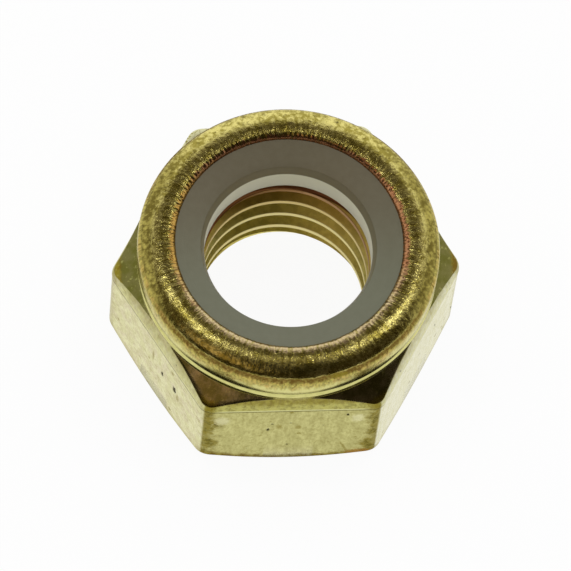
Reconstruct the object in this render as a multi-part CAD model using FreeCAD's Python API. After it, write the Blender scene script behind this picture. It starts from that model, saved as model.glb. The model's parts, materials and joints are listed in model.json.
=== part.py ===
"""Hexagon lock nut with a nylon insert held under a crimped collar.

Lengths are in millimetres and angles in degrees. The origin is the centre of the bearing face, on the
thread's axis. +Z points from the bearing face towards the collar, and one wrench flat faces -Y.
The thread itself is not cut: the bore is a plain hole at the thread's minor diameter.
The radii stack outwards from the bore through the insert and the pocket to the collar's outside, from
which the crown and the lip are measured back inwards. Heights stack up from the bearing face.
"""
import FreeCAD
import Part

import math
import os

# Hexagon
ACROSS_FLATS = 19.0
CORNER_RADIUS = 1.0
FLAT_HEIGHT = 7.6
BEARING_FACE_INSET = 0.475
BEARING_CHAMFER_ANGLE = 30.0

# Band that leans in above the flats, and the conical shoulder that falls from the collar to the corners
BAND_HEIGHT = 1.3
BAND_INSET = 0.28
SHOULDER_ANGLE = 30.0

# Threaded bore, with a tapered lead-in at the bearing face and another under the insert
MINOR_DIAMETER = 10.3
MOUTH_WIDTH = 1.25
MOUTH_HALF_ANGLE = 30.0
SEAT_CHAMFER_WIDTH = 0.45
SEAT_CHAMFER_HALF_ANGLE = 30.0

# Collar, from its foot on the shoulder up to its plain wall
COLLAR_WALL = 1.15
FOOT_HEIGHT = 0.2
BEAD_WIDTH = 0.5
BEAD_RELIEF = 0.07
GROOVE_WIDTH = 0.26
GROOVE_DEPTH = 0.16

# Crown, where the collar is rolled over the insert, and the lip that it ends in
EDGE_RADIUS = 0.95
CROWN_INSET = 1.55
CROWN_RADIUS = 2.2
LIP_WIDTH = 2.35
LIP_THICKNESS = 0.93
LIP_NOSE_RADIUS = 0.45
LIP_FACE_LEAN = 15.0

# Pocket in the collar, under the lip
POCKET_FLOOR_RISE = 0.4
POCKET_CORNER = 0.6

# Nylon insert, seated on the floor of the pocket and squeezed up a little inside the lip
INSERT_BORE_STEP = 0.05
INSERT_WIDTH = 2.96
INSERT_THICKNESS = 1.95
INSERT_BEVEL_WIDTH = 0.24
INSERT_BEVEL_HEIGHT = 0.66
INSERT_SWELL = 0.42
INSERT_SIDE_CLEARANCE = 0.04
INSERT_ROOF_CLEARANCE = 0.02
INSERT_LIP_CLEARANCE = 0.02

# Radii and heights that follow from the sizes above
FLAT_DISTANCE = ACROSS_FLATS / 2
BEARING_FACE_RADIUS = FLAT_DISTANCE - BEARING_FACE_INSET
SHOULDER_HEIGHT = FLAT_HEIGHT + BAND_HEIGHT
BORE_RADIUS = MINOR_DIAMETER / 2
MOUTH_RADIUS = BORE_RADIUS + MOUTH_WIDTH
INSERT_BORE_RADIUS = BORE_RADIUS + INSERT_BORE_STEP
INSERT_RADIUS = INSERT_BORE_RADIUS + INSERT_WIDTH
POCKET_RADIUS = INSERT_RADIUS + INSERT_SIDE_CLEARANCE
COLLAR_RADIUS = POCKET_RADIUS + COLLAR_WALL
FOOT_RADIUS = COLLAR_RADIUS - BEAD_RELIEF
LIP_RADIUS = COLLAR_RADIUS - LIP_WIDTH
POCKET_FLOOR = SHOULDER_HEIGHT + POCKET_FLOOR_RISE
POCKET_ROOF = POCKET_FLOOR + INSERT_THICKNESS + INSERT_ROOF_CLEARANCE
TOTAL_HEIGHT = POCKET_ROOF + LIP_THICKNESS

PARTS_FOLDER = "parts"
SIDES = 6
AXIS_BASE = FreeCAD.Vector(0, 0, 0)
AXIS_UP = FreeCAD.Vector(0, 0, 1)


def profile_point(radius, height):
    """A point of a turned section, in the XZ plane."""
    return FreeCAD.Vector(radius, 0, height)


def line(start, end):
    """A straight edge."""
    return Part.LineSegment(start, end).toShape()


def lines_through(points):
    """Straight edges from each point to the next."""
    return [line(start, end) for start, end in zip(points, points[1:])]


def arc_about(centre, radius, start_tilt, end_tilt):
    """A round edge about a centre. Tilts run from straight up, positive away from the axis."""
    ends = []
    for tilt in (start_tilt, (start_tilt + end_tilt) / 2, end_tilt):
        turn = math.radians(tilt)
        ends.append(centre + profile_point(radius * math.sin(turn), radius * math.cos(turn)))
    return Part.Arc(*ends).toShape(), ends[0], ends[2]


def turned(edges):
    """The solid that a closed section makes when it is turned once about the axis."""
    section = Part.Face(Part.Wire(edges))
    return section.revolve(AXIS_BASE, AXIS_UP, 360)


def hexagon_outline(flat_distance, corner_radius, height):
    """A level hexagon with rounded corners, as a closed wire with a flat towards -Y."""
    half_turn = math.radians(180 / SIDES)
    half_flat = (flat_distance - corner_radius) * math.tan(half_turn)
    corner_reach = (flat_distance - corner_radius) / math.cos(half_turn) + corner_radius
    edges = []
    for side in range(SIDES):
        turn = FreeCAD.Rotation(AXIS_UP, 360 / SIDES * side)
        next_turn = FreeCAD.Rotation(AXIS_UP, 360 / SIDES * (side + 1))
        corner_turn = FreeCAD.Rotation(AXIS_UP, 360 / SIDES * (side + 0.5))
        start = turn.multVec(FreeCAD.Vector(-half_flat, -flat_distance, height))
        end = turn.multVec(FreeCAD.Vector(half_flat, -flat_distance, height))
        tip = corner_turn.multVec(FreeCAD.Vector(0, -corner_reach, height))
        next_start = next_turn.multVec(FreeCAD.Vector(-half_flat, -flat_distance, height))
        edges.append(line(start, end))
        edges.append(Part.Arc(end, tip, next_start).toShape())
    return Part.Wire(edges)


def hexagon_block():
    """The hexagon with its leaning band above the flats, trimmed to its shoulder and its chamfer."""
    prism = Part.Face(hexagon_outline(FLAT_DISTANCE, CORNER_RADIUS, 0)).extrude(AXIS_UP * FLAT_HEIGHT)
    top_distance = FLAT_DISTANCE - BAND_INSET
    top_corner = CORNER_RADIUS * top_distance / FLAT_DISTANCE
    lower = hexagon_outline(FLAT_DISTANCE, CORNER_RADIUS, FLAT_HEIGHT)
    upper = hexagon_outline(top_distance, top_corner, SHOULDER_HEIGHT)
    band = Part.makeLoft([lower, upper], True, True)
    return prism.fuse(band).removeSplitter().common(corner_envelope())


def corner_envelope():
    """A round body that trims the hexagon's corners to a cone below and to another above.

    The upper cone meets the collar's foot at the shoulder's height, and runs on inside the wall of
    the collar, so that the two pieces of metal overlap there.
    """
    reach = FLAT_DISTANCE / math.cos(math.radians(180 / SIDES)) + CORNER_RADIUS
    rise = (reach - BEARING_FACE_RADIUS) * math.tan(math.radians(BEARING_CHAMFER_ANGLE))
    shoulder_slope = math.tan(math.radians(SHOULDER_ANGLE))
    in_wall = POCKET_RADIUS + COLLAR_WALL / 2
    corners = [
        profile_point(0, 0),
        profile_point(BEARING_FACE_RADIUS, 0),
        profile_point(reach, rise),
        profile_point(reach, SHOULDER_HEIGHT - (reach - FOOT_RADIUS) * shoulder_slope),
        profile_point(in_wall, SHOULDER_HEIGHT + (FOOT_RADIUS - in_wall) * shoulder_slope),
        profile_point(in_wall, SHOULDER_HEIGHT),
        profile_point(0, SHOULDER_HEIGHT),
        profile_point(0, 0),
    ]
    return turned(lines_through(corners))


def collar_edges(base):
    """The collar's outside from a base point up to the plain wall: foot, bead and groove."""
    bead_low = SHOULDER_HEIGHT + FOOT_HEIGHT
    groove_low = bead_low + BEAD_WIDTH
    groove_high = groove_low + GROOVE_WIDTH
    wall_start = profile_point(COLLAR_RADIUS, groove_high)
    edges = lines_through([
        base,
        profile_point(FOOT_RADIUS, base.z),
        profile_point(FOOT_RADIUS, bead_low),
        profile_point(COLLAR_RADIUS, bead_low + BEAD_WIDTH / 2),
        profile_point(FOOT_RADIUS, groove_low),
        profile_point(COLLAR_RADIUS - GROOVE_DEPTH, groove_low + GROOVE_WIDTH / 2),
        wall_start,
    ])
    return edges, wall_start


def crown_edges(wall_start):
    """The collar's wall, its rounded edge, the dome and the nose of the lip, in order.

    The dome's circle holds the circles of the edge and the nose inside it and touches both, and
    the edge's circle touches the wall, so the outline has no kink.
    """
    edge_centre, edge_tilt = inner_circle(COLLAR_RADIUS - EDGE_RADIUS, EDGE_RADIUS)
    nose_centre, nose_tilt = inner_circle(LIP_RADIUS + LIP_NOSE_RADIUS, LIP_NOSE_RADIUS)
    rounded_edge, wall_top, _ = arc_about(edge_centre, EDGE_RADIUS, 90, edge_tilt)
    dome, _, _ = arc_about(dome_centre(), CROWN_RADIUS, edge_tilt, nose_tilt)
    nose, _, nose_end = arc_about(nose_centre, LIP_NOSE_RADIUS, nose_tilt, LIP_FACE_LEAN - 90)
    return [line(wall_start, wall_top), rounded_edge, dome, nose], nose_end


def dome_centre():
    """The centre of the dome's circle."""
    return profile_point(COLLAR_RADIUS - CROWN_INSET, TOTAL_HEIGHT - CROWN_RADIUS)


def inner_circle(distance, radius):
    """The centre, at a distance from the axis, of a circle that touches the dome's from inside.

    The tilt at which the two circles touch comes with it.
    """
    across = distance - dome_centre().x
    up = math.sqrt((CROWN_RADIUS - radius) ** 2 - across ** 2)
    return dome_centre() + profile_point(across, up), math.degrees(math.atan2(across, up))


def lip_face_radius(height):
    """The radius of the lip's end face at a height. The face touches the nose and leans in below it."""
    lean = math.radians(LIP_FACE_LEAN)
    nose_centre, _ = inner_circle(LIP_RADIUS + LIP_NOSE_RADIUS, LIP_NOSE_RADIUS)
    beside_nose = nose_centre.x - LIP_NOSE_RADIUS / math.cos(lean)
    return beside_nose - (nose_centre.z - height) * math.tan(lean)


def inside_edges(nose_end, base_radius):
    """The lip's end face, the pocket, the bore and the mouth, down to the bearing face."""
    mouth_depth = MOUTH_WIDTH / math.tan(math.radians(MOUTH_HALF_ANGLE))
    seat_depth = SEAT_CHAMFER_WIDTH / math.tan(math.radians(SEAT_CHAMFER_HALF_ANGLE))
    return lines_through([
        nose_end,
        profile_point(lip_face_radius(POCKET_ROOF), POCKET_ROOF),
        profile_point(POCKET_RADIUS - POCKET_CORNER, POCKET_ROOF),
        profile_point(POCKET_RADIUS, POCKET_ROOF - POCKET_CORNER),
        profile_point(POCKET_RADIUS, POCKET_FLOOR),
        profile_point(BORE_RADIUS + SEAT_CHAMFER_WIDTH, POCKET_FLOOR),
        profile_point(BORE_RADIUS, POCKET_FLOOR - seat_depth),
        profile_point(BORE_RADIUS, mouth_depth),
        profile_point(MOUTH_RADIUS, 0),
        profile_point(base_radius, 0),
    ])


def make_nut_body():
    """The steel body: a turned core joined to the hexagonal sleeve around it.

    The two overlap in a ring of metal under the bearing face, between the mouth and the chamfer.
    """
    bearing_width = BEARING_FACE_RADIUS - MOUTH_RADIUS
    sleeve_bore = MOUTH_RADIUS + bearing_width / 4
    core_radius = MOUTH_RADIUS + bearing_width / 2
    core_top = profile_point(core_radius, FLAT_HEIGHT)
    outside, wall_start = collar_edges(core_top)
    crown, nose_end = crown_edges(wall_start)
    inside = inside_edges(nose_end, core_radius)
    core = turned([line(profile_point(core_radius, 0), core_top)] + outside + crown + inside)
    sleeve = hexagon_block().cut(Part.makeCylinder(sleeve_bore, TOTAL_HEIGHT))
    return sleeve.fuse(core).removeSplitter()


def make_nylon_insert():
    """The nylon ring: pressed down under the lip, squeezed up inside it, and bevelled at the bore."""
    top = POCKET_FLOOR + INSERT_THICKNESS
    swell_top = top + INSERT_SWELL
    return turned(lines_through([
        profile_point(INSERT_BORE_RADIUS, POCKET_FLOOR),
        profile_point(INSERT_RADIUS, POCKET_FLOOR),
        profile_point(INSERT_RADIUS, top - POCKET_CORNER),
        profile_point(INSERT_RADIUS - POCKET_CORNER, top),
        profile_point(lip_face_radius(top) - INSERT_LIP_CLEARANCE, top),
        profile_point(lip_face_radius(swell_top) - INSERT_LIP_CLEARANCE, swell_top),
        profile_point(INSERT_BORE_RADIUS + INSERT_BEVEL_WIDTH, top),
        profile_point(INSERT_BORE_RADIUS, top - INSERT_BEVEL_HEIGHT),
        profile_point(INSERT_BORE_RADIUS, POCKET_FLOOR),
    ]))


def write_part(name, shape):
    """Write a shape under its node's name, and print its volume and its lowest and highest points."""
    shape.exportStep(os.path.join(PARTS_FOLDER, name + ".step"))
    box = shape.BoundBox
    print(name, "volume", round(shape.Volume, 2), "height", round(box.ZMin, 3), round(box.ZMax, 3))


os.makedirs(PARTS_FOLDER, exist_ok=True)
write_part("nut_body", make_nut_body())
write_part("nylon_insert", make_nylon_insert())
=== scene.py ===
"""Looks of the hexagon lock nut: a passivated steel body with its cut thread, and a nylon ring.

Everything is in metres in the nut's own frame: the origin is the centre of the bearing face, +Z runs
up the thread's axis to the collar, and one wrench flat faces -Y. Sizes are written in millimetres and
turned into metres when a mesh is made.
"""
import json
import logging
import math
from dataclasses import dataclass, field
from enum import Enum

import bpy
import numpy as np
from mathutils import Matrix, Vector


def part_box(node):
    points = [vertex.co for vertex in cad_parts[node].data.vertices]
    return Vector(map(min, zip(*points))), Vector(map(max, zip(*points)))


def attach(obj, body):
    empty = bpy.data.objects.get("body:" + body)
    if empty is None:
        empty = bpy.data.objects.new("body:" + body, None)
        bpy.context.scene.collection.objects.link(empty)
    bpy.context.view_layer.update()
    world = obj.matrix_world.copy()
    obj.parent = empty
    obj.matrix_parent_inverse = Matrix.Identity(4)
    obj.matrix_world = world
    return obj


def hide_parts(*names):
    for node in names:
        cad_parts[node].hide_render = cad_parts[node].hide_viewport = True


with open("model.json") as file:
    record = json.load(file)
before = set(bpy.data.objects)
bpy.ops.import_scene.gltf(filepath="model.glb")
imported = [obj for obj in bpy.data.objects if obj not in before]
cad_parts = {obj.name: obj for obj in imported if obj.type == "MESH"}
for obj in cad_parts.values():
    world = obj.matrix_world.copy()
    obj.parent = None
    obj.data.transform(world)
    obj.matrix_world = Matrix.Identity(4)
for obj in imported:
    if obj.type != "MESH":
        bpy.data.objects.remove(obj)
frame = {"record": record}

MM = 0.001
TURN = 2 * math.pi
SIDES = 6
THREAD_SLOPE = math.tan(math.radians(30))
BESIDE = 0.03
WELD_DECIMALS = 5
SHARP_ANGLE = 28.0
INSERT_CLEARANCE = 0.04
STROKE_RADIUS = 7.5
LENS_WAY = (-0.068, -0.412, 0.909)
LOG = logging.getLogger("lock_nut")

Array = np.ndarray
Row = tuple[Array, Array]
Colour = tuple[int, int, int]
Place = tuple[float, float, float]
Span = tuple[float, float]
Socket = bpy.types.NodeSocket
Tree = bpy.types.NodeTree


class Stretch(Enum):
    """The stretches of the body's section, in the order in which they are laid."""

    BEARING = "bearing face"
    FLATS = "flats"
    BAND = "band and shoulder"
    COLLAR = "collar"
    CROWN = "crown"
    POCKET = "pocket"
    THREAD = "thread"


class Tone(Enum):
    """What a mark on the plating looks like."""

    PIT = "dark pit"
    STAIN = "orange stain"
    WORN = "pale worn spot"
    BLOTCH = "olive blotch"


def millimetres(node: str) -> tuple[Vector, Vector]:
    """The corners of a CAD node's box, in millimetres.

    Args:
        node: the node's name.

    Returns:
        The lowest and the highest corner.
    """
    low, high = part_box(node)
    return low / MM, high / MM


def mount_size(name: str, size: str) -> float:
    """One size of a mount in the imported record.

    Args:
        name: the mount's name.
        size: the size's key, in millimetres.

    Returns:
        The size in millimetres.
    """
    mount = next(m for m in frame["record"]["mounts"] if m["name"] == name)
    return float(mount["dims"][size])


def periodic_noise(angle: Array, knots: int, seed: int) -> Array:
    """Smooth random values round the axis.

    Random heights stand at evenly spaced knots, and between two knots the value eases from one to the
    next with the cubic 3t^2 - 2t^3. The last knot leads back to the first.

    Args:
        angle: angles in radians.
        knots: how many random heights go round once.
        seed: the seed of the random heights.

    Returns:
        Values from -1 to 1, in the shape of the angles.
    """
    heights = np.random.default_rng(seed).uniform(-1, 1, knots)
    place = np.mod(angle / TURN, 1.0) * knots
    index = np.floor(place).astype(int)
    share = place - index
    share = share * share * (3 - 2 * share)
    return heights[index % knots] * (1 - share) + heights[(index + 1) % knots] * share


def smooth_step(value: Array, low: float, high: float) -> Array:
    """0 below low, 1 above high and the cubic 3t^2 - 2t^3 between, also where high is the smaller."""
    share = np.clip((value - low) / (high - low), 0, 1)
    return share * share * (3 - 2 * share)


def tangent(slope: float) -> float:
    """Rise for each millimetre outwards, of a slope in degrees."""
    return math.tan(math.radians(slope))


@dataclass
class SurfaceGrid:
    """A closed surface of turned rows, each row a closed curve round the axis.

    Rows follow the section once round, and the last row leads back to the first. Angles run once
    round the axis, so the surface is a ring whatever its section.
    """

    angle: Array
    rows: list[Row] = field(default_factory=list)
    helix_start: int = 0
    helix_end: int = 0
    rows_a_turn: int = 0

    def add(self, radius: Array | float, height: Array | float) -> None:
        """Adds one row, from radii and heights that are numbers or one value a column."""
        ones = np.ones_like(self.angle)
        self.rows.append((radius * ones, height * ones))

    def add_arc(self, centre: tuple[float, float], radius: float, tilts: Array) -> None:
        """Adds a row for each tilt of a rounded edge: centre + radius * (sin tilt, cos tilt).

        Args:
            centre: the circle's centre, as radius from the axis and height.
            radius: the circle's radius.
            tilts: degrees from straight up, positive away from the axis.
        """
        for tilt in np.radians(tilts):
            self.add(centre[0] + radius * math.sin(tilt), centre[1] + radius * math.cos(tilt))

    def add_helix(self, radius: Array, height: Array, rows_a_turn: int) -> None:
        """Adds rows that climb as they go round, from the highest row to the lowest.

        After one turn a row lies where the row rows_a_turn before it began. Rows that reach an end
        of the threaded stretch lie on each other there, and welding makes them one.

        Args:
            radius: radii, one line a row.
            height: heights, one line a row.
            rows_a_turn: how many rows one pitch holds.
        """
        self.helix_start = len(self.rows)
        self.rows_a_turn = rows_a_turn
        for one_radius, one_height in zip(radius, height):
            self.rows.append((one_radius, one_height))
        self.helix_end = len(self.rows)

    def points(self) -> tuple[Array, Array]:
        """The radii and the heights of all rows, one line a row."""
        return np.stack([r for r, _ in self.rows]), np.stack([z for _, z in self.rows])

    def build(self, name: str, radius: Array, height: Array) -> bpy.types.Object:
        """Makes the mesh: x = r cos a, y = r sin a, z = height, with equal points made one.

        Args:
            name: the piece's name.
            radius: radii in millimetres, one line a row.
            height: heights in millimetres, one line a row.

        Returns:
            The new object, at the origin, with its place in its mesh.
        """
        count_rows, count_columns = radius.shape
        points = np.stack(
            [radius * np.cos(self.angle), radius * np.sin(self.angle), height], axis=-1
        ).reshape(-1, 3)
        row = np.arange(count_rows)
        after_turn = row.copy()
        inside = (row >= self.helix_start) & (row < self.helix_end)
        after_turn[inside] = np.maximum(row[inside] - self.rows_a_turn, self.helix_start)
        index = np.arange(count_rows * count_columns).reshape(count_rows, count_columns)
        right = np.concatenate([index[:, 1:], index[after_turn, :1]], axis=1)
        next_index = np.roll(index, -1, axis=0)
        next_right = np.roll(right, -1, axis=0)
        faces = np.stack([index, right, next_right, next_index], axis=-1).reshape(-1, 4)
        _, first, inverse = np.unique(
            np.round(points, WELD_DECIMALS), axis=0, return_index=True, return_inverse=True
        )
        return mesh_object(name, points[first] * MM, inverse.reshape(-1)[faces])


def mesh_object(name: str, points: Array, quads: Array) -> bpy.types.Object:
    """A mesh object from points and four-cornered faces, some of which may have equal corners.

    A face keeps the corners that differ from the corner before them, and one with fewer than three
    such corners is left out.

    Args:
        name: the object's name.
        points: points in metres.
        quads: four point numbers a face.

    Returns:
        The new object, linked to the scene, smooth apart from its sharp edges.
    """
    differs = quads != np.roll(quads, 1, axis=1)
    kept = differs.sum(axis=1) >= 3
    quads, differs = quads[kept], differs[kept]
    corners = quads[differs]
    totals = differs.sum(axis=1)
    starts = np.concatenate([[0], np.cumsum(totals)[:-1]])
    mesh = bpy.data.meshes.new(name)
    mesh.vertices.add(len(points))
    mesh.vertices.foreach_set("co", points.astype(np.float32).ravel())
    mesh.loops.add(len(corners))
    mesh.loops.foreach_set("vertex_index", corners.astype(np.int32))
    mesh.polygons.add(len(totals))
    mesh.polygons.foreach_set("loop_start", starts.astype(np.int32))
    mesh.update(calc_edges=True)
    mesh.validate()
    mesh.shade_smooth()
    mesh.set_sharp_from_angle(angle=math.radians(SHARP_ANGLE))
    piece = bpy.data.objects.new(name, mesh)
    bpy.context.scene.collection.objects.link(piece)
    return piece


@dataclass
class Hexagon:
    """The wrench hexagon with its leaning band and conical shoulder, in millimetres.

    The band over the plain flats leans inwards, and a little less on the far sides. A shallow crease
    runs along the top of each flat, under the band's overhanging edge.
    """

    flat_distance: float
    foot_radius: float
    corner_radius: float = 1.0
    flat_height: float = 7.6
    shoulder_height: float = 8.9
    shoulder_slope: float = 30.0
    far_slope: float = 10.0
    band_inset: float = 0.28
    band_swell: float = 0.03
    far_lean: float = 0.3
    edge_round: float = 0.07
    ledge: float = 0.02
    crease_depth: float = 0.06
    crease_height: float = 0.13
    bearing_inset: float = 0.475
    bearing_slope: float = 30.0

    def outline(self, angle: Array) -> Array:
        """Distance of the rounded outline from the axis.

        A flat at distance d gives d / cos(p), with p the angle from the middle of the nearest flat.
        A corner is a circle of radius c about a centre q = (d - c) / cos 30 from the axis, which
        gives q cos(e) + sqrt(c^2 - q^2 sin(e)^2), with e the angle from the corner.

        Args:
            angle: angles in radians.

        Returns:
            Distances in millimetres.
        """
        sector = TURN / SIDES
        from_flat = np.abs(np.mod(angle + TURN / 4 + sector / 2, sector) - sector / 2)
        from_corner = sector / 2 - from_flat
        centre = (self.flat_distance - self.corner_radius) / math.cos(sector / 2)
        inside = self.corner_radius**2 - (centre * np.sin(from_corner)) ** 2
        corner = centre * np.cos(from_corner) + np.sqrt(np.maximum(inside, 0))
        reach = (self.flat_distance - self.corner_radius) * math.tan(sector / 2)
        on_flat = from_flat < math.atan2(reach, self.flat_distance)
        return np.where(on_flat, self.flat_distance / np.cos(from_flat), corner)

    def lean(self, angle: Array) -> Array:
        """How much the band draws in for each millimetre of height, as a share of the outline."""
        front = self.band_inset / self.flat_distance / (self.shoulder_height - self.flat_height)
        return front * (1 - (1 - self.far_lean) * smooth_step(np.sin(angle), 0.1, 0.45))

    def slope(self, angle: Array) -> Array:
        """Fall of the conical shoulder for each millimetre outwards, a little less on the far side."""
        front, far = (tangent(s) for s in (self.shoulder_slope, self.far_slope))
        return front + (far - front) * smooth_step(np.sin(angle), 0.1, 0.8)

    def band_edge(self, angle: Array) -> Row:
        """Where the leaning band ends: on the conical shoulder, or on the collar's foot.

        With o the outline, m the lean and f the flats' height, the band at height z lies at
        o (1 - m (z - f)). The cone is z = s - t (r - g), with s the shoulder's height, t its slope
        and g the foot's radius. They meet at z = (s - t (o (1 + m f) - g)) / (1 - t o m). Where that
        is inside the foot, the band ends on the foot, at z = f + (1 - g / o) / m.

        Args:
            angle: angles in radians.

        Returns:
            Radii and heights in millimetres.
        """
        outline, lean, slope = self.outline(angle), self.lean(angle), self.slope(angle)
        drop = slope * (outline * (1 + lean * self.flat_height) - self.foot_radius)
        height = (self.shoulder_height - drop) / (1 - slope * outline * lean)
        radius = outline * (1 - lean * (height - self.flat_height))
        foot_height = self.flat_height + (1 - self.foot_radius / outline) / lean
        on_foot = radius < self.foot_radius
        return np.where(on_foot, self.foot_radius, radius), np.where(on_foot, foot_height, height)


@dataclass
class Collar:
    """The crimped collar, its crown and the lip over the insert, in millimetres."""

    radius: float
    top: float
    relief: float = 0.07
    bead_low: float = 9.1
    groove_low: float = 9.6
    wall_low: float = 9.86
    groove_depth: float = 0.16
    groove_round: float = 0.02
    wall_row: float = 0.6
    edge_radius: float = 0.95
    crown_inset: float = 1.55
    crown_radius: float = 2.2
    lip_width: float = 2.35
    lip_thickness: float = 0.93
    lip_face_lean: float = 15.0
    nose_radius: float = 0.45
    wall: float = 1.15
    pocket_corner: float = 0.6


@dataclass
class Thread:
    """The right-hand thread, in millimetres, with flank rows enough for a smooth helix."""

    minor_radius: float
    pitch: float = 1.75
    root_radius: float = 6.0
    crest_height_behind: float = 4.94
    crest_half: float = 0.11
    crest_round: float = 0.012
    mouth_width: float = 1.25
    seat_width: float = 0.45

    def profile(self, phase: Array) -> Array:
        """Radius of the thread against its phase, in pitches from the middle of a crest.

        The crest is flat, the flanks lean 30 degrees to each side, and the root is flat: the radius
        is a straight rise in the distance from the crest, held between the minor and root radii.

        Args:
            phase: pitches from the middle of a crest.

        Returns:
            Radii in millimetres.
        """
        from_crest = np.abs(phase - np.round(phase))
        rise = (from_crest - self.crest_half) * self.pitch / THREAD_SLOPE
        return np.clip(self.minor_radius + rise, self.minor_radius, self.root_radius)

    def phases(self) -> Array:
        """The phases, from one crest's middle down to the next, at which rows are laid."""
        depth = self.root_radius - self.minor_radius
        root = self.crest_half + depth * THREAD_SLOPE / self.pitch
        flank = np.linspace(self.crest_half, root, 4)
        edge = [self.crest_half - self.crest_round, self.crest_half + self.crest_round / 2]
        down = np.concatenate([edge, flank[1:], [0.5]])
        return np.concatenate([down, 1 - down[-2::-1]])


@dataclass
class NutBody:
    """The steel body of the nut: hexagon, collar, lip and threaded bore in one closed surface."""

    hexagon: Hexagon
    collar: Collar
    thread: Thread
    pocket_floor: float
    columns: int = 720
    pleats: int = 176
    pleat_depth: float = 0.04
    crown_dents: float = 0.01

    def section(self, grid: SurfaceGrid) -> dict[Stretch, slice]:
        """Lays the rows of the whole section.

        Args:
            grid: the surface that takes the rows.

        Returns:
            The rows that belong to each stretch.
        """
        lays = {
            Stretch.BEARING: self.lay_bearing,
            Stretch.FLATS: self.lay_flats,
            Stretch.BAND: self.lay_band,
            Stretch.COLLAR: self.lay_collar,
            Stretch.CROWN: self.lay_crown,
            Stretch.POCKET: self.lay_pocket,
            Stretch.THREAD: self.lay_thread,
        }
        rows: dict[Stretch, slice] = {}
        for stretch, lay in lays.items():
            start = len(grid.rows)
            lay(grid)
            rows[stretch] = slice(start, len(grid.rows))
        return rows

    def lay_bearing(self, grid: SurfaceGrid) -> None:
        """Bearing face from the thread's mouth to the chamfer, and the cone of the chamfer."""
        mouth = self.thread.minor_radius + self.thread.mouth_width
        bearing = self.hexagon.flat_distance - self.hexagon.bearing_inset
        flat = self.hexagon.outline(grid.angle) - self.hexagon.ledge
        slope = tangent(self.hexagon.bearing_slope)
        grid.add(mouth + BESIDE, 0.0)
        grid.add((mouth + bearing) / 2, 0.0)
        grid.add(bearing - BESIDE, 0.0)
        for share in (0.06, 0.5, 0.96):
            grid.add(bearing + (flat - bearing) * share, (flat - bearing) * share * slope)

    def lay_flats(self, grid: SurfaceGrid) -> None:
        """Plain flats from the chamfer up to the crease under the band."""
        h = self.hexagon
        flat = h.outline(grid.angle) - h.ledge
        chamfer = (flat - (h.flat_distance - h.bearing_inset)) * tangent(h.bearing_slope)
        low = chamfer + BESIDE
        high = h.flat_height - h.crease_height
        for share in (0.0, 0.3, 0.65, 0.99, 1.0):
            grid.add(flat, low + (high - low) * share)
        grid.add(flat - h.crease_depth, h.flat_height - h.crease_height * 0.4)

    def lay_band(self, grid: SurfaceGrid) -> None:
        """The leaning band with its slight swell, its rounded top edge and the conical shoulder."""
        h = self.hexagon
        outline, slope = h.outline(grid.angle), h.slope(grid.angle)
        edge_radius, edge_height = h.band_edge(grid.angle)
        front_lean = h.lean(-TURN / 4)
        room = np.clip((edge_radius - h.foot_radius) / 0.3, 0, 1) * h.edge_round
        for share in (0.0, 0.06, 0.35, 0.7):
            swell = h.band_swell * math.sin(math.pi * share) * (h.lean(grid.angle) / front_lean) ** 2
            radius = outline + (edge_radius - outline) * share
            grid.add(radius + swell, h.flat_height + (edge_height - h.flat_height) * share)
        grid.add(edge_radius + room * h.lean(grid.angle) * outline, edge_height - room)
        grid.add(edge_radius - room * 0.3, edge_height - room * 0.25)
        inner, inner_height = edge_radius - room * 1.4, edge_height + room * 1.4 * slope
        for share in (0.0, 0.3, 0.7, 1.0):
            radius = inner + (h.foot_radius - inner) * share
            grid.add(radius, inner_height + (h.shoulder_height - inner_height) * share)

    def lay_collar(self, grid: SurfaceGrid) -> None:
        """Foot, bead, V-shaped groove and plain wall of the collar."""
        c = self.collar
        foot = c.radius - c.relief
        grid.add(foot, c.bead_low)
        for share in (0.18, 0.4, 0.62, 0.84):
            swell = c.relief * math.sin(math.pi * share)
            grid.add(foot + swell, c.bead_low + (c.groove_low - c.bead_low) * share)
        grid.add(foot, c.groove_low)
        middle = (c.groove_low + c.wall_low) / 2
        grid.add(c.radius - c.groove_depth, middle - c.groove_round)
        grid.add(c.radius - c.groove_depth, middle + c.groove_round)
        grid.add(c.radius - c.groove_round, c.wall_low)
        grid.add(c.radius, c.wall_low + 2 * c.groove_round)
        grid.add(c.radius, c.wall_low + c.wall_row)

    def lay_crown(self, grid: SurfaceGrid) -> None:
        """Rounded edge, dome and nose of the lip, each a circle that touches the next."""
        c = self.collar
        dome = (c.radius - c.crown_inset, c.top - c.crown_radius)
        edge, edge_tilt = self.inner_circle(dome, c.radius - c.edge_radius, c.edge_radius)
        nose, nose_tilt = self.inner_circle(
            dome, c.radius - c.lip_width + c.nose_radius, c.nose_radius
        )
        end = c.lip_face_lean - 90
        grid.add_arc(edge, c.edge_radius, np.linspace(90, edge_tilt, 9))
        grid.add_arc(dome, c.crown_radius, np.linspace(edge_tilt, nose_tilt, 11)[1:])
        grid.add_arc(nose, c.nose_radius, np.linspace(nose_tilt, end, 8)[1:])

    def inner_circle(
        self, dome: tuple[float, float], distance: float, radius: float
    ) -> tuple[tuple[float, float], float]:
        """A circle that touches the dome's from inside, at a distance from the axis.

        Args:
            dome: centre of the dome's circle.
            distance: distance of the new centre from the axis.
            radius: the new circle's radius.

        Returns:
            The new centre, and the tilt in degrees at which the circles touch.
        """
        across = distance - dome[0]
        up = math.sqrt((self.collar.crown_radius - radius) ** 2 - across**2)
        return (distance, dome[1] + up), math.degrees(math.atan2(across, up))

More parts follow.
